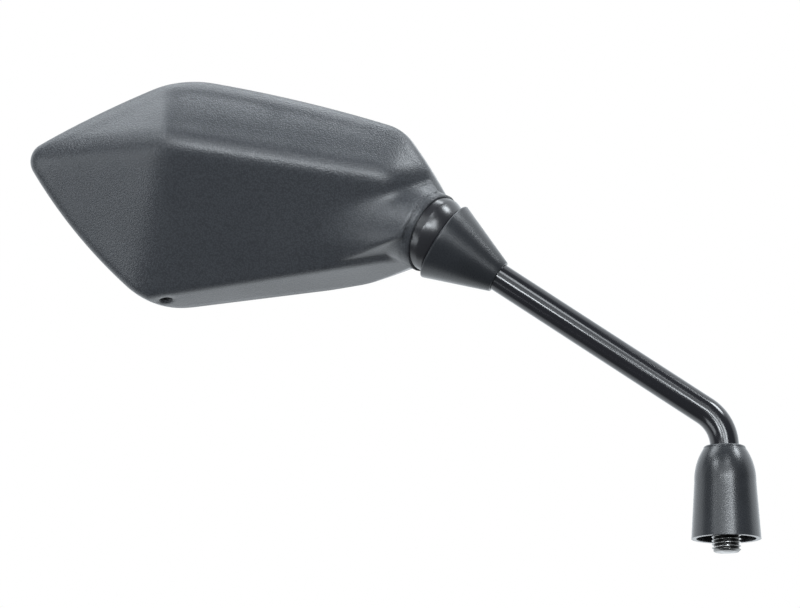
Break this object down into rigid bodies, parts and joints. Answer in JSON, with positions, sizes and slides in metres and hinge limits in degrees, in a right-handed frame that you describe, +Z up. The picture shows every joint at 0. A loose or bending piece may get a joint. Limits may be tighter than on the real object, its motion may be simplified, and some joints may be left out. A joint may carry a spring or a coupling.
{
  "type": "motorcycle mirror",
  "caption": "Motorcycle rear-view mirror: faceted dark head with a convex glass on a ball joint, rubber boot, bent black stem and bell cover over a threaded stud.",
  "frame": {"origin": "on the stud's axis, in the plane of the lower cover's rim", "axes": "+Z up along the stud's axis, the stem in the XZ plane with the head on the -X side, the glass facing about +Y"},
  "size_m": [0.257, 0.049, 0.1709],
  "materials": {
    "stem_paint": "gloss",
    "ball_steel": "polished",
    "liner_plastic": "satin",
    "boot_rubber": "satin",
    "cover_rubber": "fine grain",
    "nut_zinc": "zinc plated",
    "collar_plastic": "gloss",
    "spring_steel": "phosphated",
    "cup_plastic": "satin",
    "plug_steel": "zinc plated",
    "housing_plastic": "pebble grain",
    "mirror_face": "polished",
    "gasket_foam": "closed-cell foam"
  },
  "bodies": {
    "stem": {"stem": "stem_paint", "pivot_ball": "ball_steel", "lock_nut": "nut_zinc"},
    "lower liner": {"lower_ball_liner": "liner_plastic"},
    "upper liner": {"upper_ball_liner": "liner_plastic"},
    "head": {"housing": "housing_plastic", "socket_collar": "collar_plastic", "retaining_ring": "spring_steel", "pressure_cup": "cup_plastic", "joint_spring": "spring_steel", "spring_plug": "plug_steel", "mirror_glass": "mirror_face", "glass_gasket": "gasket_foam"},
    "boot": {"joint_boot": "boot_rubber"},
    "cover": {"stem_cover": "cover_rubber"}
  },
  "joints": [
    {"name": "head_turn", "type": "hinge", "parent": "stem", "child": "lower liner", "pos_m": [-0.10272, 0, 0.10981], "axis": [0.8271, 0, -0.5621], "continuous": true},
    {"name": "head_tilt", "type": "hinge", "parent": "lower liner", "child": "upper liner", "pos_m": [-0.10272, 0, 0.10981], "axis": [0.5472, 0.2289, 0.8051], "range_deg": [-1, 39]},
    {"name": "head_swing", "type": "hinge", "parent": "upper liner", "child": "head", "pos_m": [-0.10272, 0, 0.10981], "axis": [-0.1536, -0.9181, 0.3654], "range_deg": [-7, 7]},
    {"name": "boot_slide", "type": "slide", "parent": "stem", "child": "boot", "axis": [0.8271, 0, -0.5621], "range_m": [0, 0.05]},
    {"name": "cover_slide", "type": "slide", "parent": "stem", "child": "cover", "axis": [0, 0, -1], "range_m": [0, 0.006]}
  ]
}
